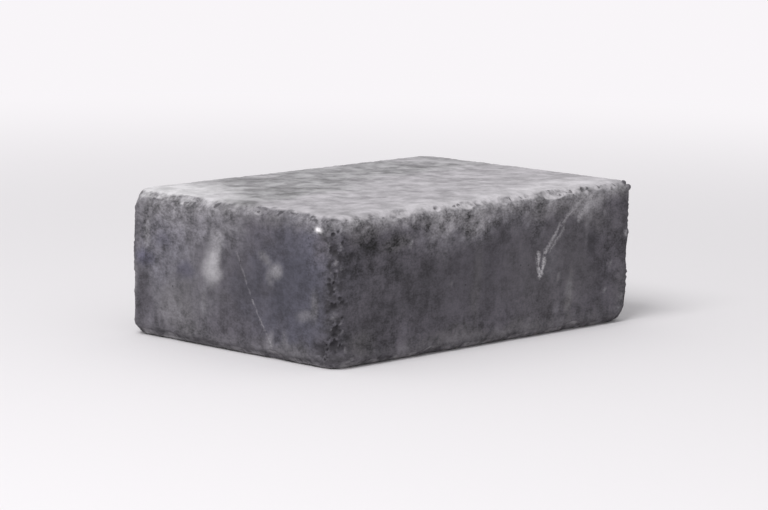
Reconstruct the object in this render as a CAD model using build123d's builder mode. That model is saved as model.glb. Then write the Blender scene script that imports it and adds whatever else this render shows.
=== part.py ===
from build123d import *
import os

# A tumbled wall block. It is one solid piece of pressed concrete, laid flat on its
# largest face. It leaves the press as a sharp-edged prism, and is then turned in a
# drum with others. The drum grinds a flat along each arris, knocks the corners off,
# rounds what is left and spalls flakes from the arrises. The beds and faces between
# keep their pressed flatness.
#
# Millimetres. X runs along the block, Y from its front to its back, Z up. The origin
# is the middle of the bottom bed.

# The pressed prism, and the radius to which the drum rounds every edge
block_length = 300.0
block_width = 200.0
block_height = 100.0
rounding = 6.5

left, right = -block_length / 2, block_length / 2
front, back = -block_width / 2, block_width / 2
bottom, top = 0.0, block_height
centre = Vector(0, 0, block_height / 2)

# Each arris as (start, end, depth of its flat in from the ideal edge at the start, and
# at the end)
arrises = {
    "front top": ((left, front, top), (right, front, top), 3.4, 3.9),
    "back top": ((left, back, top), (right, back, top), 5.0, 3.3),
    "left top": ((left, front, top), (left, back, top), 3.3, 4.6),
    "right top": ((right, front, top), (right, back, top), 4.2, 3.4),
    "front bottom": ((left, front, bottom), (right, front, bottom), 3.7, 3.5),
    "back bottom": ((left, back, bottom), (right, back, bottom), 3.6, 4.4),
    "left bottom": ((left, front, bottom), (left, back, bottom), 3.4, 4.3),
    "right bottom": ((right, front, bottom), (right, back, bottom), 4.6, 3.8),
    "front left": ((left, front, bottom), (left, front, top), 4.5, 3.9),
    "front right": ((right, front, bottom), (right, front, top), 5.4, 4.4),
    "back right": ((right, back, bottom), (right, back, top), 4.2, 5.0),
    "back left": ((left, back, bottom), (left, back, top), 5.2, 6.6),
}

# Each corner's flat, as how far from the ideal corner it reaches in X, in Y and in Z
corner_flats = {
    (left, front, top): (13.0, 12.0, 15.0),
    (right, front, top): (15.0, 13.0, 12.0),
    (right, back, top): (16.0, 18.0, 20.0),
    (left, back, top): (17.0, 15.0, 30.0),
    (left, front, bottom): (16.0, 14.0, 13.0),
    (right, front, bottom): (17.0, 15.0, 24.0),
    (right, back, bottom): (14.0, 17.0, 15.0),
    (left, back, bottom): (18.0, 14.0, 19.0),
}

# Spalls, as (arris, place along it, depth of the hollow below the flat, its radius)
spalls = [
    ("front top", 62.0, 1.2, 34.0),
    ("front top", 126.0, 0.9, 22.0),
    ("front top", 214.0, 1.3, 60.0),
    ("front bottom", 96.0, 1.4, 40.0),
    ("front bottom", 236.0, 1.7, 30.0),
    ("back top", 84.0, 1.2, 48.0),
    ("back top", 203.0, 1.0, 26.0),
    ("back bottom", 148.0, 1.6, 52.0),
    ("left top", 72.0, 0.9, 30.0),
    ("left top", 141.0, 1.1, 46.0),
    ("left bottom", 58.0, 1.4, 28.0),
    ("right top", 96.0, 1.2, 36.0),
    ("right bottom", 121.0, 1.5, 42.0),
    ("front left", 38.0, 1.1, 24.0),
    ("front left", 67.0, 0.9, 18.0),
    ("front right", 52.0, 1.7, 26.0),
    ("back left", 36.0, 1.8, 24.0),
    ("back right", 59.0, 1.3, 30.0),
]


def outward_of(spot):
    """Which way is out of the block at a spot on its edges: -1, 0 or 1 on each axis."""
    away = spot - centre
    return Vector(*(0 if abs(side) < 1e-6 else side / abs(side) for side in away))


def arris_spot(name, place):
    """A spot on the flat of an arris, this far along it, and the flat's direction."""
    start, end, start_depth, end_depth = arrises[name]
    start, end = Vector(*start), Vector(*end)
    run = end - start
    diagonal = outward_of((start + end) / 2).normalized()
    slope = (end_depth - start_depth) / run.length
    spot = start + run.normalized() * place - diagonal * (start_depth + slope * place)
    return spot, (diagonal + run.normalized() * slope).normalized()


def cut_flat(spot, outward):
    """Cuts the core so that its surface, once rounded, has a flat through the spot."""
    split(bisect_by=Plane(spot - outward * rounding, z_dir=outward), keep=Keep.BOTTOM)


with BuildPart() as wall_block:
    with Locations(centre):
        Box(
            block_length - 2 * rounding,
            block_width - 2 * rounding,
            block_height - 2 * rounding,
        )
    for name in arrises:
        cut_flat(*arris_spot(name, 0))
    for corner, (reach_x, reach_y, reach_z) in corner_flats.items():
        corner = Vector(*corner)
        out = outward_of(corner)
        outward = Vector(out.X / reach_x, out.Y / reach_y, out.Z / reach_z).normalized()
        cut_flat(corner - Vector(out.X * reach_x, 0, 0), outward)
    offset(amount=rounding, kind=Kind.ARC)

    for name, place, depth, radius in spalls:
        spot, outward = arris_spot(name, place)
        with Locations(spot + outward * (radius - depth)):
            Sphere(radius, mode=Mode.SUBTRACT)

wall_block.part.label = "wall_block"
os.makedirs("parts", exist_ok=True)
export_step(wall_block.part, "parts/wall_block.step")
print("wall_block", round(wall_block.part.volume / 1e6, 4), "litres")
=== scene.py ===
import math
import random

import bpy
import numpy as np
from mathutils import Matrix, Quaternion, Vector, noise
from mathutils.bvhtree import BVHTree


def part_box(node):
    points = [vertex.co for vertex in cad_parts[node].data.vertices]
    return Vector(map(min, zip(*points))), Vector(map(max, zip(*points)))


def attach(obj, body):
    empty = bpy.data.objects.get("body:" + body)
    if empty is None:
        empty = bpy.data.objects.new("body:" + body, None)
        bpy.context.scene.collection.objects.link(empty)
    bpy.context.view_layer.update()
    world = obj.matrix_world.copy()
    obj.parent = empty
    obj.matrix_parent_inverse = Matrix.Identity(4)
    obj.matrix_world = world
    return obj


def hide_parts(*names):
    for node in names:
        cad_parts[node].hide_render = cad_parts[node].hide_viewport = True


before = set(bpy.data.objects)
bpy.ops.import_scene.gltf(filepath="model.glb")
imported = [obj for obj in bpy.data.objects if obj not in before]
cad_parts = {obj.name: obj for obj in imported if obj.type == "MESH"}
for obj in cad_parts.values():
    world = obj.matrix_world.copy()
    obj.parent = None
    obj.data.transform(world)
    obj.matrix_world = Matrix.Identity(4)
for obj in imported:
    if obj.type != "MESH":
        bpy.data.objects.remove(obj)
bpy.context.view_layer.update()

# The block's form. It is one piece of dry concrete, pressed in a steel mould, so its beds
# and faces are flat. It is then turned in a drum, which rounds and spalls the arrises and
# leaves their sand and stones bare.
block_low, block_high = (np.array(corner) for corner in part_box("wall_block"))
block_middle = (block_high + block_low) / 2
half_size = (block_high - block_low) / 2

# The mesh has fine cells in a strip along each arris, and merged ones between the strips
fine_step = 0.00088
strip_cells = 11
merged = 3


def mesh_lines(low, high):
    """Places of the mesh lines from one end of a side to the other, a fine step apart."""
    strip = strip_cells * fine_step
    inner = merged * round((high - low - 2 * strip) / (merged * fine_step))
    return np.concatenate(
        [
            np.linspace(low, low + strip, strip_cells, endpoint=False),
            np.linspace(low + strip, high - strip, inner, endpoint=False),
            np.linspace(high - strip, high, strip_cells + 1),
        ]
    )


def side_cells(across, up):
    """Cells of one side as rings of mesh lines: fine beside the arrises, merged between."""
    cells = []
    last_across, last_up = across - strip_cells, up - strip_cells
    for i in range(across):
        for j in range(up):
            if not (strip_cells <= i < last_across and strip_cells <= j < last_up):
                cells.append([(i, j), (i + 1, j), (i + 1, j + 1), (i, j + 1)])
    for i in range(strip_cells, last_across, merged):
        for j in range(strip_cells, last_up, merged):
            below = range(0, merged, 1 if j == strip_cells else merged)
            beyond = range(0, merged, 1 if i + merged == last_across else merged)
            above = range(0, merged, 1 if j + merged == last_up else merged)
            before = range(0, merged, 1 if i == strip_cells else merged)
            ring = [(i + k, j) for k in below]
            ring += [(i + merged, j + k) for k in beyond]
            ring += [(i + merged - k, j + merged) for k in above]
            ring += [(i, j + merged - k) for k in before]
            cells.append(ring)
    return cells


def prism_grid(low, high):
    """Points and outward cells of a prism's surface, on the lines above."""
    lines = [mesh_lines(low[axis], high[axis]) for axis in range(3)]
    number = {}
    cells = []
    for axis in range(3):
        across, up = (other for other in range(3) if other != axis)
        for end in (0, len(lines[axis]) - 1):
            inward = (end == 0) != (axis == 1)
            for ring in side_cells(len(lines[across]) - 1, len(lines[up]) - 1):
                cell = []
                for i, j in ring:
                    spot = [end, end, end]
                    spot[across], spot[up] = i, j
                    cell.append(number.setdefault(tuple(spot), len(number)))
                cells.append(cell[::-1] if inward else cell)
    points = np.array([[lines[axis][spot[axis]] for axis in range(3)] for spot in number])
    return points, cells


# The core lies this far inside the prism, below all of the wear
core_inset = 0.032


def onto_worn_solid(points, solid):
    """Each point moved onto the solid, along its ray from a core inside."""
    corners = [vertex.co for vertex in solid.data.vertices]
    tree = BVHTree.FromPolygons(corners, [face.vertices[:] for face in solid.data.polygons])
    core = np.clip(points, block_low + core_inset, block_high - core_inset)
    moved = points.copy()
    for index, (start, point) in enumerate(zip(core, points)):
        hit = tree.ray_cast(Vector(start), Vector(point - start))[0]
        if hit:
            moved[index] = hit
    return moved


def new_mesh(name, points, cells):
    """A smooth-shaded mesh of these cells."""
    mesh = bpy.data.meshes.new(name)
    mesh.from_pydata(points.tolist(), [], cells)
    mesh.shade_smooth()
    mesh.update()
    return mesh


def mesh_normals(mesh):
    """The outward direction at each point of a mesh."""
    normals = np.zeros(len(mesh.vertices) * 3, np.float32)
    mesh.vertex_normals.foreach_get("vector", normals)
    return normals.reshape(-1, 3).astype(float)


def rise(value, start, end):
    """0 at start and 1 at end, with a smooth rise between."""
    share = np.clip((value - start) / (end - start), 0, 1)
    return share * share * (3 - 2 * share)


points, block_cells = prism_grid(block_low, block_high)
points = onto_worn_solid(points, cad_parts["wall_block"])
normals = mesh_normals(new_mesh("pressed_form", points, block_cells))

# How far each point is from the nearest arris, and how much of a bed it is
arris_gap = np.sort(half_size - np.abs(points - block_middle), axis=1)[:, 1]
bed = normals[:, 2] ** 2

# Flakes spalled off the arrises in the drum: each leaves a shallow shell-shaped hollow
flake_count = 170
flake_radius = (0.008, 0.050)
flake_depth = (0.0003, 0.0022)
flake_reach = 0.03
flake_lean = 0.35
chance = random.Random(41)


def arris_spot():
    """A random place on one of the twelve arrises, and its outward diagonal."""
    along = chance.choices(range(3), weights=half_size)[0]
    outward = np.array([chance.choice((-1.0, 1.0)) for axis in range(3)])
    spot = outward * half_size
    spot[along] = chance.uniform(-1, 1) * half_size[along]
    outward[along] = chance.uniform(-flake_lean, flake_lean)
    return block_middle + spot, outward


# Those that show most, as (spot, outward, radius, depth): low on the far left arris, low
# on the right one, beside the near top corner, and notches along the front top arris
flakes = [
    ((-0.150, 0.100, 0.021), (-1, 1, -0.05), 0.062, 0.0023),
    ((0.150, -0.100, 0.047), (1, -1, 0), 0.070, 0.0015),
    ((-0.150, -0.0865, 0.091), (-1, -0.3, 0.3), 0.007, 0.0009),
    ((-0.096, -0.100, 0.096), (0, -1, 0.5), 0.006, 0.0012),
    ((-0.053, -0.100, 0.100), (0, -1, 1), 0.0045, 0.0012),
    ((-0.013, -0.100, 0.100), (0, -1, 0.8), 0.005, 0.0012),
    ((0.097, -0.100, 0.100), (0, -1, 1), 0.004, 0.0014),
    ((0.104, -0.100, 0.096), (0, -1, 0.5), 0.004, 0.0014),
]
for flake in range(flake_count):
    radius = chance.uniform(*flake_radius)
    depth = flake_depth[0] + (flake_depth[1] - flake_depth[0]) * chance.random() ** 2
    flakes.append((*arris_spot(), radius, depth))

lost = np.zeros(len(points))
for spot, outward, radius, depth in flakes:
    outward = np.array(outward) / np.linalg.norm(outward)
    near = np.linalg.norm(points - spot, axis=1) < min(flake_reach, 3 * radius)
    if not near.any():
        continue
    reach = ((points[near] - spot) @ outward).max()
    centre = spot + outward * (reach + radius - depth)
    away = points - centre
    distance = np.linalg.norm(away, axis=1)
    inside = distance < radius
    lost[inside] = np.maximum(lost[inside], radius - distance[inside])
    points[inside] = centre + away[inside] / distance[inside, None] * radius

# The pressed skin is nearly smooth, with a swell and a ripple, each as (height, rate), and
# with sand in finer and finer layers, as (height, rate, fall-off, step, layers)
swell = (0.00026, 22)
ripple = (0.00012, 61)
pressed_sand = (0.00008, 240, 0.9, 2.1, 3)

# Ground-off concrete has lumps and crumbs, given the same way, bare stones, and sockets
# that some of the larger stones have left
lump = (0.0007, 90)
crumble = (0.0006, 420, 0.7, 2.2, 3)
stone_size = 0.0037
stone_height = 0.0019
stone_level = 0.45
socket_size = 0.0062
socket_depth = 0.0019
socket_reach = 0.42
socket_luck_rate = 9.7


def waves(here, height, rate):
    """A smooth rise and fall of this height, so many to the metre."""
    return noise.noise(here * rate) * height


def layered(here, height, rate, *layers):
    """The same with finer layers on it."""
    return noise.fractal(here * rate, *layers) * height


def skin_relief(here):
    """How far the pressed skin stands out at a place."""
    return waves(here, *swell) + waves(here, *ripple) + layered(here, *pressed_sand)


def ground_relief(here):
    """How far ground-off concrete stands out at a place."""
    stones = (stone_level - noise.voronoi(here / stone_size)[0][0]) * stone_height
    gaps, homes = noise.voronoi(here / socket_size)
    empty = noise.noise(homes[0] * socket_luck_rate) > 0
    socket = max(0, 1 - gaps[0] / socket_reach) ** 0.5 * socket_depth if empty else 0
    return waves(here, *lump) + stones + layered(here, *crumble) - socket


# The arrises and the flakes' hollows are ground off, in patches, and most of all on the
# upright arrises
arris_strip = (0.013, 0.003)
bed_strip = (0.008, 0.02)
bed_arris_share = 0.35
flaked_depth = 0.0004
least_rough = 0.01
patch_rate = 30
bed_gap = half_size[2] - np.abs(points[:, 2] - block_middle[2])
coarse = bed_arris_share + (1 - bed_arris_share) * rise(bed_gap, *bed_strip)
rough = coarse * np.clip(rise(arris_gap, *arris_strip) + rise(lost, 0, flaked_depth), 0, 1)
relief = np.zeros(len(points))
for index, point in enumerate(points):
    here = Vector(point)
    relief[index] = skin_relief(here)
    if rough[index] > least_rough:
        patchy = rough[index] * (0.7 + 0.5 * noise.noise(here * patch_rate))
        relief[index] += patchy * ground_relief(here)

# Crumbs still stuck at the front right top corner and on the right arris, each as (spot,
# radius, how far it stands out), a little flattened and as uneven as what they sit on
crumbs = [
    ((0.1415, -0.0965, 0.0985), 0.0026, 0.0024),
    ((0.1465, -0.0965, 0.0950), 0.0030, 0.0030),
    ((0.1490, -0.0960, 0.0630), 0.0028, 0.0014),
    ((0.1490, -0.0960, 0.0350), 0.0030, 0.0014),
]
crumb_squash = (1, 1, 1.25)
crumb_unevenness = 0.8
stuck = np.zeros(len(points))
for spot, radius, stands in crumbs:
    away = np.linalg.norm((points - spot) * crumb_squash, axis=1) + relief * crumb_unevenness
    nearness = np.clip(1 - away / radius, 0, 1)
    stuck = np.maximum(stuck, nearness)
    relief += np.sqrt(nearness) * stands

# Pits where grains came out of the near upright arris, the most worn one, as (spot, radius):
# three large ones at its foot, and small ragged ones all along it
pit_chance = random.Random(12)
pit_run = np.arange(0.032, 0.093, 0.0030)
pit_spread = (-0.008, 0.015)
pit_radius = (0.0010, 0.0021)
pit_depth = 0.6
# How far out the pits' painted shade reaches, and where it is full, in radii
pit_shade_fade = (1.2, 0.4)
pit_raggedness = 0.9
pit_rag_rate = 460
pits = [
    ((-0.1490, -0.0885, 0.0112), 0.0043),
    ((-0.1475, -0.0970, 0.0165), 0.0031),
    ((-0.1470, -0.0975, 0.0262), 0.0029),
]
for up in pit_run:
    aside = pit_chance.uniform(*pit_spread)
    guess = block_low + (max(aside, 0), max(-aside, 0), up)
    pits.append((guess, pit_chance.uniform(*pit_radius)))
# How much painted shade each point takes from the pits
pit_shade = np.zeros(len(points))
for guess, radius in pits:
    spot = points[np.linalg.norm(points - guess, axis=1).argmin()]
    away = np.linalg.norm(points - spot, axis=1) / radius
    for index in np.flatnonzero(away < 3):
        away[index] *= 1 + pit_raggedness * noise.noise(Vector(points[index]) * pit_rag_rate)
    pit_shade = np.maximum(pit_shade, rise(away, *pit_shade_fade))
    relief -= np.sqrt(np.clip(1 - away, 0, 1)) * radius * pit_depth

# All of it is sunk a little, so that what stands out stays within the block's measures
sunk = 0.0003
relief -= sunk
points = np.clip(points + normals * relief[:, None], block_low, block_high)

block_mesh = new_mesh("wall_block_worn", points, block_cells)
block = bpy.data.objects.new("tumbled_block", block_mesh)
bpy.context.scene.collection.objects.link(block)

# The concrete's finish. Through and through it is anthracite concrete with pale sand and
# stones. The beds carry a pale bloom of cement, the pressed faces show faint upright lines
# where the mould drew off them, and everywhere there are rubs and scratches from the drum.


def add_node(tree, kind, sockets=None, **settings):
    """A node with its settings, and a value or a link for each named socket."""
    new = tree.nodes.new(kind)
    for name, value in settings.items():
        setattr(new, name, value)
    for name, value in (sockets or {}).items():
        if isinstance(value, bpy.types.NodeSocket):
            tree.links.new(value, new.inputs[name])
        else:
            new.inputs[name].default_value = value
    return new


def maths(tree, operation, first, second=0.0, clamp=False):
    sockets = {0: first, 1: second}
    node = add_node(tree, "ShaderNodeMath", sockets, operation=operation, use_clamp=clamp)
    return node.outputs[0]


def vector_maths(tree, operation, first, second=(0, 0, 0), output="Vector"):
    sockets = {0: first, 1: second}
    node = add_node(tree, "ShaderNodeVectorMath", sockets, operation=operation)
    return node.outputs[output]


def scale_vector(tree, vector, factor):
    sockets = {0: vector, "Scale": factor}
    return add_node(tree, "ShaderNodeVectorMath", sockets, operation="SCALE").outputs[0]


def blend(tree, share, first, second, kind="MIX"):
    """The first colour where share is 0, and the second where it is 1."""
    sockets = {0: share, 6: first, 7: second}
    return add_node(tree, "ShaderNodeMix", sockets, data_type="RGBA", blend_type=kind).outputs[2]


def smooth_step(tree, value, start, end):
    """0 at start and 1 at end, with a smooth rise between."""
    sockets = {"Value": value, "From Min": start, "From Max": end}
    return add_node(
        tree, "ShaderNodeMapRange", sockets, interpolation_type="SMOOTHSTEP"
    ).outputs[0]


# Scratch: a line from one place to another, that thins out and breaks
thinnest = 0.01
scratch = bpy.data.node_groups.new("scratch", "ShaderNodeTree")
for socket in ("Place", "From", "To"):
    scratch.interface.new_socket(socket, in_out="INPUT", socket_type="NodeSocketVector")
for socket in ("Width", "Breaks"):
    scratch.interface.new_socket(socket, in_out="INPUT", socket_type="NodeSocketFloat")
scratch.interface.new_socket("Mask", in_out="OUTPUT", socket_type="NodeSocketFloat")
given = scratch.nodes.new("NodeGroupInput").outputs
result = scratch.nodes.new("NodeGroupOutput").inputs
run = vector_maths(scratch, "SUBTRACT", given["To"], given["From"])
offset = vector_maths(scratch, "SUBTRACT", given["Place"], given["From"])
travel = vector_maths(scratch, "DOT_PRODUCT", offset, run, output="Value")
length = vector_maths(scratch, "DOT_PRODUCT", run, run, output="Value")
way_along = maths(scratch, "DIVIDE", travel, length, clamp=True)
miss = vector_maths(scratch, "SUBTRACT", offset, scale_vector(scratch, run, way_along))
miss = vector_maths(scratch, "LENGTH", miss, output="Value")
whole = maths(scratch, "MAXIMUM", given["Breaks"], thinnest)
width = maths(scratch, "MULTIPLY", given["Width"], whole)
line = maths(scratch, "SUBTRACT", 1.0, maths(scratch, "DIVIDE", miss, width), clamp=True)
scratch.links.new(line, result["Mask"])

# The tones of the concrete, as linear red, green and blue, from dark to pale
pit_shade_black = (0.026, 0.024, 0.029)
# The next tone is dark paste, and is also used as painted shade in pits, pores, hollows and
# notches
dark_paste_and_shade = (0.040, 0.037, 0.043)
pitch = (0.046, 0.043, 0.052)
soot = (0.052, 0.048, 0.058)
deep_slate = (0.058, 0.057, 0.076)
slate_blue = (0.066, 0.065, 0.087)
coal = (0.066, 0.061, 0.072)
dull_coal = (0.078, 0.072, 0.085)
anthracite = (0.088, 0.081, 0.096)
violet_dark = (0.090, 0.086, 0.124)
warm_grey = (0.132, 0.125, 0.132)
stone_grey = (0.152, 0.145, 0.164)
ash = (0.185, 0.177, 0.194)
violet_grey = (0.196, 0.188, 0.224)
bruise = (0.240, 0.230, 0.248)
pale_ash = (0.245, 0.235, 0.252)
thin_dust = (0.255, 0.244, 0.262)
dusty = (0.265, 0.255, 0.275)
dust = (0.27, 0.259, 0.277)
full_dust = (0.275, 0.263, 0.282)
chalky = (0.42, 0.405, 0.43)
scratch_white = (0.56, 0.54, 0.57)
white_lime = (0.82, 0.80, 0.82)

# The tones of the bloom, from where it is worn off to where it is thick, and last thick
# bloom with a painted highlight on it
bloom_gone = (0.22, 0.213, 0.225)
bloom_faint = (0.225, 0.221, 0.228)
bloom_scant = (0.25, 0.247, 0.253)
bloom_slight = (0.27, 0.264, 0.274)
bloom_worn = (0.290, 0.286, 0.294)
bloom_thin = (0.296, 0.291, 0.301)
bloom_even = (0.31, 0.303, 0.314)
bloom_wash = (0.310, 0.299, 0.316)
bloom_mid = (0.330, 0.322, 0.335)
bloom = (0.405, 0.388, 0.410)
bloom_full = (0.480, 0.462, 0.486)
bloom_rich = (0.540, 0.520, 0.545)
bloom_thick_and_highlight = (0.600, 0.587, 0.605)

# Patches and marks are laid on the mesh's points, and each place is strayed so that
# their edges come out ragged, in the same way each time
noise.seed_set(4)
stray_scales = ((28, 1.0), (85, 0.5), (240, 0.28))
mark_depth = 24.0
mark_fade = (1.0, 0.25)
mark_raggedness = 0.34


def stray_of(point):
    """Which way, and how far, a place is strayed."""
    here = Vector(point)
    return sum((noise.noise_vector(here * rate) * size for rate, size in stray_scales), Vector())


strays = np.array([stray_of(point) for point in points])
spots = points * 1000
left_end, front_face, bottom_bed = block_low * 1000
right_end, back_face, top_bed = block_high * 1000


def lay_marks(tones, face, marks):
    """Lays marks on one face, in millimetres.

    Each is (across, up, reach across, reach up, tilt in degrees, strength, tone).
    """
    depth_axis, depth, across_axis, up_axis = {
        "end": (0, left_end, 1, 2),
        "far end": (0, right_end, 1, 2),
        "front": (1, front_face, 0, 2),
        "back": (1, back_face, 0, 2),
        "top": (2, top_bed, 0, 1),
        "bottom": (2, bottom_bed, 0, 1),
    }[face]
    for across, up, reach_across, reach_up, tilt, strength, tone in marks:
        strayed = spots + strays * mark_raggedness * math.sqrt(reach_across * reach_up)
        aside = strayed[:, across_axis] - across
        above = strayed[:, up_axis] - up
        turn = math.radians(tilt)
        along = (aside * math.cos(turn) + above * math.sin(turn)) / reach_across
        over = (above * math.cos(turn) - aside * math.sin(turn)) / reach_up
        inward = (spots[:, depth_axis] - depth) / mark_depth
        distance = np.sqrt(along**2 + over**2 + inward**2)
        share = rise(distance, *mark_fade) * strength
        tones += (np.array(tone) - tones) * share[:, None]


face_tone = np.tile(anthracite, (len(points), 1)).astype(float)
lay_marks(
    face_tone,
    "end",
    [
        # Broad patches: bluer towards the near arris, and paler towards the far one
        (-62, 50, 66, 62, 0, 0.85, slate_blue),
        (52, 58, 70, 64, 0, 0.95, stone_grey),
        (50, 90, 76, 24, 0, 0.85, ash),
        (14, 78, 44, 22, -6, 0.6, stone_grey),
        (60, 60, 38, 26, 0, 0.5, violet_grey),
        (45, 26, 32, 30, 0, 0.6, warm_grey),
        (84, 30, 15, 26, 0, 0.9, dull_coal),
        (98, 33, 9, 34, 0, 0.9, dusty),
        (0, 85, 27, 8, 0, 0.65, ash),
        (0, 74, 22, 9, 0, 0.5, stone_grey),
        (-68, 66, 28, 26, 0, 0.5, deep_slate),
        (81, 55, 15, 8, 0, 0.85, violet_dark),
        (39, 49, 13, 9, 0, 0.65, violet_dark),
        (62, 67, 12, 6, 0, 0.45, violet_dark),
        (50, 22, 20, 12, 0, 0.5, ash),
        # The pale smear, thin above, wide below, and with a faint tail
        (12, 76, 6.5, 10, 10, 0.6, dusty),
        (12.5, 60, 9, 24, 15, 0.7, dusty),
        (13.5, 51.5, 12, 10, 10, 0.85, chalky),
        (11.5, 60, 7, 13, 15, 0.9, chalky),
        (8, 72, 4.5, 13, 12, 0.85, dusty),
        (21.7, 33, 3.8, 16, 2, 0.65, ash),
        # The rub on its right, two at the foot, and those beside the arrises
        (-35, 66, 10, 4, 35, 0.8, ash),
        (-45, 58.5, 8.5, 7.5, 15, 0.9, dusty),
        (-39, 53, 4, 9, -20, 0.7, ash),
        (-41, 12.5, 4, 10, 10, 0.6, ash),
        (-54, 15, 3.5, 9, -10, 0.5, ash),
        (-80, 40, 5, 15, 0, 0.7, ash),
        (-72, 33, 12, 5, -10, 0.6, ash),
        (78, 71, 3.4, 18, 0, 0.85, dusty),
        (-88, 93, 14, 6, 0, 0.6, ash),
        (-58, 8, 34, 12, 0, 0.5, warm_grey),
        (-97, 12, 9, 9, 0, 0.8, soot),
        # The white chip below the near top corner, with painted shade in the hollows around it
        (-88, 87.0, 5.0, 3.0, 0, 0.8, dark_paste_and_shade),
        (-84, 90.4, 5.0, 2.3, 10, 1.0, white_lime),
        (-89.5, 85.5, 3.0, 2.6, 0, 0.8, dark_paste_and_shade),
        (-90.0, 77, 3.4, 2.4, 30, 0.7, dark_paste_and_shade),
        (-81, 80.5, 5.0, 2.0, 0, 0.6, soot),
        # Small dark spots below the top arris
        (50, 82, 3.4, 2.6, 0, 0.6, coal),
        (35, 74.5, 3.6, 2.6, 0, 0.5, coal),
        (10, 84, 5.0, 3.0, 0, 0.5, coal),
    ],
)
lay_marks(
    face_tone,
    "front",
    [
        # Broad patches: darkest beside the near arris, warmer to the right and at the foot
        (-106, 50, 110, 44, 0, 0.9, coal),
        (60, 40, 60, 60, 0, 0.25, warm_grey),
        (150, 30, 26, 46, 0, 0.5, warm_grey),
        (96, 84, 60, 20, -14, 0.5, warm_grey),
        (20, 4, 150, 12, 0, 0.5, warm_grey),
        # The pale band below the top arris, with darker spots in it
        (-6, 87, 126, 20, 0, 0.8, stone_grey),
        (12, 87, 20, 8, 0, 0.6, ash),
        (52, 88, 26, 9, 0, 0.65, ash),
        (-34, 88, 48, 12, 0, 0.9, thin_dust),
        (-14, 86, 26, 9, 0, 0.5, full_dust),
        (92, 86, 20, 10, 20, 0.7, dust),
        (-122, 86, 22, 9, 0, 0.6, warm_grey),
        (-92, 76, 20, 7, 14, 0.6, warm_grey),
        (-118, 75, 12, 8, 0, 0.5, soot),
        (10, 74, 14, 9, 0, 0.5, coal),
        (58, 86, 40, 9, 0, 0.5, warm_grey),
        (102, 87, 26, 12, 30, 0.9, pale_ash),
        # Spots and upright streaks lower down
        (104, 60, 9, 14, 0, 0.85, soot),
        (-104, 10, 18, 9, 0, 0.6, soot),
        (80, 26, 5, 28, 0, 0.8, warm_grey),
        (60, 52, 12, 18, 0, 0.6, stone_grey),
        (-14, 40, 8, 42, 0, 0.4, warm_grey),
        (-126, 15, 19, 14, 0, 0.6, warm_grey),
        (-132, 60, 19, 20, 0, 0.9, pitch),
        (80, 34, 5, 13, 0, 0.45, ash),
        (97.5, 68, 4, 12, 0, 0.4, ash),
        (148, 57, 6, 9, 0, 0.5, ash),
        # Pale flecks
        (142, 63.5, 3.4, 3.4, 0, 0.95, chalky),
        (118.5, 25, 2.8, 3.0, 0, 0.65, dusty),
        (124, 43, 2.8, 3.4, 0, 0.55, dusty),
        (137, 19, 3.0, 3.6, 0, 0.65, dusty),
        (135.5, 10, 2.8, 3.2, 0, 0.55, dusty),
        (117, 79, 5.0, 2.6, -20, 0.5, ash),
        (-80, 76.5, 2.8, 2.8, 0, 0.65, dusty),
        (-40, 46, 2.8, 2.8, 0, 0.5, ash),
        (69, 40, 3.0, 3.2, 0, 0.65, dusty),
        (67, 18, 3.6, 9, 0, 0.5, stone_grey),
        # Painted shade in the pits at the foot of the near arris, and pale grains beside them
        (-147, 25.5, 5.6, 2.8, 0, 0.95, dark_paste_and_shade),
        (-147.5, 15.5, 3.8, 3.6, 0, 0.95, dark_paste_and_shade),
        (-142.5, 15.0, 2.4, 2.6, 0, 0.85, dark_paste_and_shade),
        (-139.5, 13.5, 2.2, 3.2, 0, 0.8, dusty),
        (-135, 5, 4.2, 3.0, 30, 0.85, dusty),
        (-144, 7, 5.0, 3.6, 0, 0.8, dark_paste_and_shade),
    ],
)
bed_tone = np.tile(bloom, (len(points), 1)).astype(float)
lay_marks(
    bed_tone,
    "top",
    [
        # Broad patches: thin towards the back and the middle, and at the far left corner thick
        # bloom with a painted highlight on it
        (10, 66, 200, 66, 0, 0.95, bloom_thin),
        (-80, 14, 96, 44, -6, 0.9, bloom_worn),
        (20, -94, 180, 26, 0, 0.9, bloom_full),
        (80, -88, 100, 26, 0, 0.8, bloom_rich),
        (-129, 64, 54, 74, -4, 1.0, bloom_thick_and_highlight),
        # Smaller ones, worn and full
        (-62, 79, 30, 18, -30, 0.85, bloom_faint),
        (-78, 30, 20, 15, 10, 0.6, bloom_faint),
        (-28, 52, 36, 10, -10, 0.55, bloom_faint),
        (2, 8, 20, 9, 8, 0.85, bloom_full),
        (-143, -8, 14, 26, 0, 0.75, bloom_faint),
        (-100, 1, 48, 17, 0, 0.7, bloom_scant),
        (-70, -32, 20, 8, 0, 0.4, bloom_thin),
        (32, -40, 24, 10, 0, 0.4, bloom_full),
        (28, 66, 26, 10, 0, 0.5, bloom_mid),
        (100, 70, 26, 13, 0, 0.6, bloom_mid),
        # Along the front arris
        (-42, -94, 62, 9, 0, 0.6, bloom_rich),
        (62, -94, 120, 9, 0, 0.5, bloom_rich),
        (-100, -92, 44, 9, 0, 0.5, bloom_full),
        # Towards the right end and the left one
        (125, 42, 52, 24, 0, 0.7, bloom_even),
        (-130, 28, 28, 12, 0, 0.5, bloom_full),
        (-125, 8, 36, 10, 0, 0.5, bloom_slight),
        (-66, 70, 15, 12, 0, 0.7, bloom_faint),
        (-156, -50, 11, 60, 0, 0.9, bloom_gone),
        # The far left corner: thick bloom with a painted highlight
        (-147, 97, 10, 9, 0, 0.8, bloom_thick_and_highlight),
    ],
)
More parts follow.
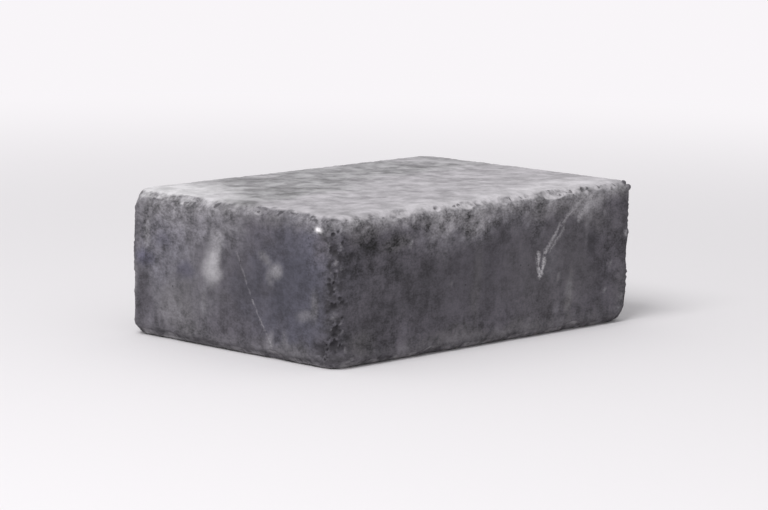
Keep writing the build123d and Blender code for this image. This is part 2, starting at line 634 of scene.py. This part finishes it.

# Painted shadow below the lip of the end's top arris, and painted shade in the spalled
# notches of the front top arris, which cut through the face's tone and the bed's alike
end_lip_shadow = [
    (1, 95.5, 19, 3.4, 6, 0.6, coal),
    (-10, 96, 6, 2.6, 10, 0.7, soot),
    (-45, 95, 13, 3.0, 8, 0.65, coal),
]
front_notch_shade = [
    (-96, 94.5, 6.5, 2.2, 10, 0.85, dark_paste_and_shade),
    (-53, 97.2, 4.0, 1.8, 0, 0.8, dark_paste_and_shade),
    (-13, 95.8, 5.0, 2.0, 0, 0.8, dark_paste_and_shade),
    (97, 97.3, 3.8, 2.2, -20, 0.95, dark_paste_and_shade),
    (104, 93.8, 3.8, 2.4, -20, 0.95, dark_paste_and_shade),
]
for tones in (face_tone, bed_tone):
    lay_marks(tones, "end", end_lip_shadow)
    lay_marks(tones, "front", front_notch_shade)

# How uneven the faces are: most of all below the near top corner, and least in the smear
uneven = np.full((len(points), 1), 0.5)
lay_marks(
    uneven,
    "front",
    [
        (-95, 50, 80, 60, 0, 0.9, (0.95,)),
        (-114, 66, 50, 36, 0, 1.0, (1.35,)),
        (124, 62, 30, 46, 0, 0.9, (0.9,)),
        (0, 88, 170, 16, 0, 0.8, (1.0,)),
    ],
)
lay_marks(
    uneven,
    "end",
    [
        (50, 78, 70, 40, 0, 1.0, (0.85,)),
        (-84, 80, 22, 24, 0, 0.9, (1.2,)),
        (14, 58, 14, 26, 0, 1.0, (0.3,)),
    ],
)

# How far the bloom reaches over the beds' arrises: far along the front, and less at the end
bloom_reach = np.ones((len(points), 1))
lay_marks(
    bloom_reach,
    "front",
    [
        (0, 95, 190, 26, 0, 1.0, (1.18,)),
        (-30, 95, 66, 24, 0, 1.0, (1.3,)),
    ],
)
lay_marks(
    bloom_reach,
    "end",
    [
        (-50, 95, 66, 26, 0, 1.0, (0.66,)),
        (40, 95, 44, 24, 0, 1.0, (0.82,)),
    ],
)


def chance_marks(count, spans, tones):
    """Marks with each measure drawn from its span, and the tone too where there are several.

    The spans are of across, up, reach across, reach up, tilt and strength.
    """
    marks = []
    for mark in range(count):
        measures = [chance.uniform(*span) for span in spans]
        tone = chance.choice(tones) if len(tones) > 1 else tones[0]
        marks.append((*measures, tone))
    return marks


# The back and the far end: patches and rubs of the same kind, and the bottom bed: patches
# of bloom
patch_tones = (coal, soot, slate_blue, warm_grey, stone_grey, stone_grey, ash)
for side, reach, patches in (("back", 150, 26), ("far end", 100, 16)):
    patch_spans = ((-reach, reach), (5, 95), (10, 60), (7, 34), (-20, 20), (0.3, 0.8))
    rub_place = ((-0.9 * reach, 0.9 * reach), (15, 90))
    rub_spans = (*rub_place, (3, 10), (5, 20), (-30, 30), (0.25, 0.6))
    marks = chance_marks(patches, patch_spans, patch_tones)
    marks += chance_marks(patches // 4, rub_spans, (dusty,))
    lay_marks(face_tone, side, marks)
bottom_patches = 22
bottom_spans = ((-150, 150), (-100, 100), (16, 80), (10, 34), (-15, 15), (0.3, 0.8))
bottom_tones = (bloom_faint, bloom_thin, bloom_mid, bloom_full)
lay_marks(bed_tone, "bottom", chance_marks(bottom_patches, bottom_spans, bottom_tones))

skin_layers = {
    "face_tone": face_tone,
    "bed_tone": bed_tone,
    "bed": bed,
    "arris_gap": arris_gap * 1000,
    "relief": relief * 1000,
    "stuck": stuck,
    "pit_shade": pit_shade,
    "uneven": uneven[:, 0],
    "bloom_reach": bloom_reach[:, 0],
}
for name, values in skin_layers.items():
    kind, value = ("FLOAT_COLOR", "color") if values.ndim == 2 else ("FLOAT", "value")
    if values.ndim == 2:
        values = np.column_stack([values, np.ones(len(values))])
    layer = block_mesh.attributes.new(name, kind, "POINT")
    layer.data.foreach_set(value, values.astype(np.float32).ravel())

concrete = bpy.data.materials.new("tumbled_concrete")
concrete.use_nodes = True
tree = concrete.node_tree
shader = tree.nodes["Principled BSDF"]

# Places in millimetres from the middle of the bottom bed
place = add_node(tree, "ShaderNodeTexCoord").outputs["Object"]
place = scale_vector(tree, place, 1000.0)
level = add_node(tree, "ShaderNodeSeparateXYZ", {0: place}).outputs["Z"]
mid_level = block_middle[2] * 1000


def layer_of(name, output="Fac"):
    """What a layer of the mesh's points holds."""
    return add_node(tree, "ShaderNodeAttribute", attribute_name=name).outputs[output]


def times(*masks):
    product = masks[0]
    for mask in masks[1:]:
        product = maths(tree, "MULTIPLY", product, mask)
    return product


def plus(*values):
    total = values[0]
    for value in values[1:]:
        total = maths(tree, "ADD", total, value)
    return total


def less(value, amount, clamp=False):
    return maths(tree, "SUBTRACT", value, amount, clamp=clamp)


def swing(mask, amount):
    """The mask's departure from its middle, times an amount."""
    return times(less(mask, 0.5), amount)


def from_mid_level():
    """How far a place is above or below the block's middle."""
    return maths(tree, "ABSOLUTE", less(level, mid_level))


def shade(colour, factor):
    """The colour, lighter or darker by a factor."""
    return blend(tree, 1.0, colour, factor, kind="MULTIPLY")


def tint(colour, share, tone):
    """The colour, with a share of a tone over it."""
    return blend(tree, share, colour, (*tone, 1))


def clouds(size, start=0.36, end=0.64, detail=3.0, stretch=(1, 1, 1), shift=0.0):
    """A mask of cloudy patches of about this size in millimetres.

    The closer start and end are, the sharper the patches' edges, and a shift of its own
    sets each mask apart from the others.
    """
    moved = add_node(
        tree,
        "ShaderNodeVectorMath",
        {0: place, 1: stretch, 2: (shift, -shift, shift / 2)},
        operation="MULTIPLY_ADD",
    ).outputs[0]
    sockets = {"Vector": moved, "Scale": 1 / size, "Detail": detail, "Roughness": 0.6}
    return smooth_step(tree, add_node(tree, "ShaderNodeTexNoise", sockets).outputs[0], start, end)


face_colour, bed_colour = layer_of("face_tone", "Color"), layer_of("bed_tone", "Color")
on_bed, from_arris, height = layer_of("bed"), layer_of("arris_gap"), layer_of("relief")
crumb, pit = layer_of("stuck"), layer_of("pit_shade")
unevenness, over_arris = layer_of("uneven"), layer_of("bloom_reach")

# The pressed faces: clouded, with faint upright lines, and livelier towards the arrises
speck_stretch = (0.8, 0.8, 1.2)
near_arris = smooth_step(tree, from_arris, 48.0, 8.0)
wide_clouds = clouds(34.0)
mid_clouds = clouds(12.0, stretch=(1, 1, 0.9), shift=37.0)
small_clouds = clouds(4.8, 0.34, 0.66, detail=2.0, stretch=speck_stretch, shift=71.0)
specks = clouds(1.6, detail=1.0, stretch=speck_stretch, shift=13.0)
drawn = clouds(8.0, 0.34, 0.66, stretch=(1, 1, 0.07))
drawn_here = plus(0.2, times(smooth_step(tree, level, 80.0, 50.0), 0.8))

# A wash of bloom runs over the beds' arrises and thins out down the faces. Along the
# bottom arris it is kept faint, as painted shade at the block's foot.
above = smooth_step(tree, level, 30.0, 70.0)
wash = smooth_step(tree, from_mid_level(), 34.0, 47.5)
wash = times(wash, plus(0.2, times(above, 0.8)))
wash_clouds = plus(0.55, times(clouds(8.0, 0.38, 0.6, shift=19.0), 0.45))
wash = times(wash, wash_clouds, over_arris, over_arris)
face_colour = tint(face_colour, wash, bloom_wash)
mottle = plus(
    swing(wide_clouds, 0.32),
    swing(mid_clouds, 0.5),
    swing(small_clouds, 0.42),
    swing(specks, 0.3),
    times(swing(drawn, 0.24), drawn_here),
)
liveliness = plus(unevenness, times(near_arris, 0.4))
face_colour = shade(face_colour, plus(1.0, times(mottle, liveliness)))

# The beds: a bloom of cement, cloudier where it is thin
thickness = add_node(tree, "ShaderNodeSeparateColor", {0: bed_colour}).outputs["Green"]
thin = smooth_step(tree, thickness, 0.46, 0.28)
streaks = clouds(17.0, 0.38, 0.62, shift=9.0)
bed_clouds = plus(
    swing(wide_clouds, 0.2),
    swing(streaks, 0.5),
    swing(mid_clouds, 0.3),
    swing(small_clouds, 0.16),
)
bed_clouds = times(bed_clouds, plus(0.45, times(thin, 0.55)))
bed_colour = shade(bed_colour, plus(1.0, bed_clouds, swing(specks, 0.08)))

# The bloom ends in a ragged line along the arrises, and reaches less far over the bottom
# arris, as painted shade at the block's foot.
ragged_line = plus(
    0.72, times(above, 0.28), swing(mid_clouds, 0.36), swing(small_clouds, 0.2)
)
bed_mask = smooth_step(tree, times(on_bed, ragged_line, over_arris), 0.24, 0.74)
colour = blend(tree, bed_mask, face_colour, bed_colour)

# The arrises: ground bare in places, so that dark paste, sand and stones show
on_arris = smooth_step(tree, from_arris, 13.0, 3.0)
off_bed = less(1.0, times(bed_mask, 0.85))
upright_arris = smooth_step(tree, from_mid_level(), 46.0, 34.0)
bare = times(on_arris, off_bed, plus(0.25, times(upright_arris, 0.75)))
stone_tops = smooth_step(tree, height, -0.5, 0.2)
gap_paste_and_shade = smooth_step(tree, height, -0.4, -0.9)
colour = tint(colour, times(bare, 0.3), coal)
# Dark paste with painted shade over it, where the ground-off arris lies low between the stones
colour = tint(colour, times(bare, gap_paste_and_shade, 0.85), dark_paste_and_shade)
colour = tint(colour, times(bare, stone_tops, plus(0.22, times(specks, 0.46))), bruise)
colour = tint(colour, times(smooth_step(tree, crumb, 0.0, 0.3), 0.85), coal)
# Painted shade in the deepest hollows of the arrises
hollow_shade = times(on_arris, smooth_step(tree, height, -0.6, -1.2), off_bed)
colour = tint(colour, times(hollow_shade, 0.9), dark_paste_and_shade)
bed_edge = maths(tree, "ABSOLUTE", less(on_bed, 0.45))
notch = times(smooth_step(tree, bed_edge, 0.35, 0.1), on_arris)
less_bloom = times(less(1.0, over_arris, clamp=True), 0.35)
notch_clouds = plus(clouds(7.0, 0.0, 1.0, detail=2.0, shift=61.0), less_bloom)
notch = times(notch, smooth_step(tree, notch_clouds, 0.65, 0.76))
colour = tint(colour, times(notch, 0.7), dark_paste_and_shade)
# The pits' painted shade, near black
colour = tint(colour, times(pit, 0.8), pit_shade_black)

# Scratches from the drum, and dark drag lines that handling left on the top bed, each as
# (from, to, width, strength), along slightly strayed lines
scratches = [
    ((left_end, -8, 68), (left_end, -23, 38), 1.3, 0.24),
    ((left_end, -23, 38), (left_end, -42, 9), 1.4, 0.32),
    ((47.5, front_face, 57), (49.5, front_face, 42), 3.2, 1.0),
    ((55.5, front_face, 59), (51.5, front_face, 44), 3.2, 1.0),
    ((55.5, front_face, 59), (70, front_face, 75), 2.6, 0.65),
    ((60, front_face, 59), (74, front_face, 73), 2.2, 0.4),
    ((70, front_face, 75), (91, front_face, 91), 3.2, 0.5),
    ((91, front_face, 91), (104, front_face, 98), 3.2, 0.4),
    ((89, front_face, 78), (103, front_face, 92), 3.6, 0.5),
]
drags = [
    ((-71, 41, top_bed), (-74, -29, top_bed), 5.0, 0.3),
    ((-10, 25, top_bed), (11, 0, top_bed), 5.0, 0.3),
    ((-49, 27, top_bed), (-16, -1, top_bed), 4.0, 0.3),
    ((-98, 22, top_bed), (-122, -45, top_bed), 5.0, 0.25),
    ((-127, 35, top_bed), (-101, 25, top_bed), 6.0, 0.35),
    ((-45, 93, top_bed), (-74, 56, top_bed), 9.0, 0.3),
]
line_stray = 2.4
wander = add_node(tree, "ShaderNodeTexNoise", {"Vector": place, "Scale": 0.12, "Detail": 2.0})
wander = vector_maths(tree, "SUBTRACT", wander.outputs["Color"], (0.5, 0.5, 0.5))
strayed_place = vector_maths(tree, "ADD", place, scale_vector(tree, wander, line_stray))
breaks = clouds(4.0, 0.26, 0.56, detail=2.0, shift=29.0)


def on_lines(lines):
    """How much a place lies on any of the lines."""
    mask = 0.0
    for start, end, width, strength in lines:
        sockets = {
            "Place": strayed_place,
            "From": start,
            "To": end,
            "Width": width,
            "Breaks": breaks,
        }
        on_line = add_node(tree, "ShaderNodeGroup", sockets, node_tree=scratch).outputs["Mask"]
        mask = maths(tree, "MAXIMUM", mask, times(on_line, strength))
    return mask


cut = times(on_lines(scratches), plus(0.5, times(specks, 0.6)))
colour = tint(colour, cut, scratch_white)
colour = tint(colour, on_lines(drags), ash)

# Pores: separate round holes of different sizes, of which a share shows, and fewer under
# the bloom. They are painted shade only, dark spots with no hollow in the surface.
pore_spacing = 9.0
pore_share = 0.5
pore_girth = 0.11
smallest_pore = 0.3
scatter = add_node(tree, "ShaderNodeTexVoronoi", {"Vector": place, "Scale": 1 / pore_spacing})
luck = add_node(tree, "ShaderNodeSeparateColor", {0: scatter.outputs["Color"]}).outputs
shown = maths(tree, "LESS_THAN", luck[0], pore_share)
girth = times(plus(times(luck[1], 1 - smallest_pore), smallest_pore), pore_girth)
pore = smooth_step(tree, maths(tree, "DIVIDE", scatter.outputs["Distance"], girth), 1.0, 0.5)
pore_shade = times(pore, shown, less(1.0, times(bed_mask, 0.7)))
colour = tint(colour, times(pore_shade, 0.8), dark_paste_and_shade)

# The grain of the sand, coarser on the arrises, with the drawn lines and the scratches
sand_sockets = {"Vector": place, "Scale": 0.9, "Detail": 2.0, "Roughness": 0.6}
sand = add_node(tree, "ShaderNodeTexNoise", sand_sockets).outputs[0]
bumps = times(sand, plus(0.07, times(on_arris, 0.2)))
bumps = plus(bumps, times(drawn, 0.06), times(cut, -0.12))
bump = add_node(tree, "ShaderNodeBump", {"Height": bumps, "Distance": 0.001, "Strength": 1.0})

shader.inputs["Roughness"].default_value = 0.88
tree.links.new(colour, shader.inputs["Base Color"])
tree.links.new(bump.outputs[0], shader.inputs["Normal"])
block_mesh.materials.append(concrete)

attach(block, "root")
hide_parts("wall_block")

# The floor: a plain pale sheet, matt, that lies level with the block's bottom bed. Away
# from the block it fades into the white of the studio, so that no edge of it shows.
floor_reach = 14.0
fade_start, fade_end = 0.35, 1.6
sheet_seen = (0.80, 0.78, 0.80, 1)
sheet_bounce = (0.5, 0.49, 0.5, 1)
studio_white = (0.94, 0.915, 0.94, 1)
floor_mesh = bpy.data.meshes.new("floor")
floor_corners = [(-1, -1), (1, -1), (1, 1), (-1, 1)]
floor_points = [(x * floor_reach, y * floor_reach, 0) for x, y in floor_corners]
floor_mesh.from_pydata(floor_points, [], [(0, 1, 2, 3)])
floor = bpy.data.objects.new("floor", floor_mesh)
bpy.context.scene.collection.objects.link(floor)
floor_finish = bpy.data.materials.new("pale_floor")
floor_finish.use_nodes = True
floor_tree = floor_finish.node_tree
floor_shader = floor_tree.nodes["Principled BSDF"]


def seen_by_eye(tree):
    """1 where it is looked at, straight, in a reflection or through glass, and else 0."""
    rays = add_node(tree, "ShaderNodeLightPath").outputs
    seen = maths(tree, "ADD", rays["Is Camera Ray"], rays["Is Glossy Ray"], clamp=True)
    return maths(tree, "ADD", seen, rays["Is Transmission Ray"], clamp=True)


seen = seen_by_eye(floor_tree)
sheet = blend(floor_tree, seen, sheet_bounce, sheet_seen)
floor_tree.links.new(sheet, floor_shader.inputs["Base Color"])
floor_shader.inputs["Roughness"].default_value = 0.9
ground = add_node(floor_tree, "ShaderNodeTexCoord").outputs["Object"]
ground = vector_maths(floor_tree, "LENGTH", ground, output="Value")
faded = maths(floor_tree, "MULTIPLY", smooth_step(floor_tree, ground, fade_start, fade_end), seen)
glow = add_node(floor_tree, "ShaderNodeEmission", {"Color": studio_white}).outputs[0]
mixed_sockets = {0: faded, 1: floor_shader.outputs[0], 2: glow}
mixed = add_node(floor_tree, "ShaderNodeMixShader", mixed_sockets).outputs[0]
floor_tree.links.new(mixed, floor_tree.nodes["Material Output"].inputs["Surface"])
floor_mesh.materials.append(floor_finish)

# The studio light: an even pale surround, which is white where it is looked at, and one
# large soft lamp above the left end.
surround_light = (0.6, 0.6, 0.6, 1)
lamp_place = (-2.0, -0.5, 2.4)
lamp_side = 1.6
lamp_watts = 62
studio = bpy.data.worlds.new("studio")
studio.use_nodes = True
studio_tree = studio.node_tree
surround = blend(studio_tree, seen_by_eye(studio_tree), surround_light, studio_white)
studio_tree.links.new(surround, studio_tree.nodes["Background"].inputs["Color"])
bpy.context.scene.world = studio

aim = Vector(block_middle)
soft_light = bpy.data.lights.new("soft_lamp", "AREA")
soft_light.energy = lamp_watts
soft_light.size = lamp_side
soft_lamp = bpy.data.objects.new("soft_lamp", soft_light)
soft_lamp.location = lamp_place
soft_lamp.rotation_euler = (aim - soft_lamp.location).to_track_quat("-Z", "Y").to_euler()
bpy.context.scene.collection.objects.link(soft_lamp)

# The camera: the photograph's viewpoint, nearer a corner than an end and a little above
# the top bed, through a long lens.
camera_distance = 2.315
camera_azimuth = math.radians(-46.53)
camera_elevation = math.radians(8.51)
camera_roll = math.radians(0.83)
camera_lens = 157.0
camera_data = bpy.data.cameras.new("camera")
camera_data.lens = camera_lens
camera = bpy.data.objects.new("camera", camera_data)
towards = Vector(
    (
        math.sin(camera_azimuth) * math.cos(camera_elevation),
        -math.cos(camera_azimuth) * math.cos(camera_elevation),
        math.sin(camera_elevation),
    )
)
camera.location = aim + towards * camera_distance
facing = (-towards).to_track_quat("-Z", "Y") @ Quaternion((0, 0, 1), camera_roll)
camera.rotation_euler = facing.to_euler()
bpy.context.scene.collection.objects.link(camera)
bpy.context.scene.camera = camera
bpy.context.scene.view_settings.view_transform = "Standard"
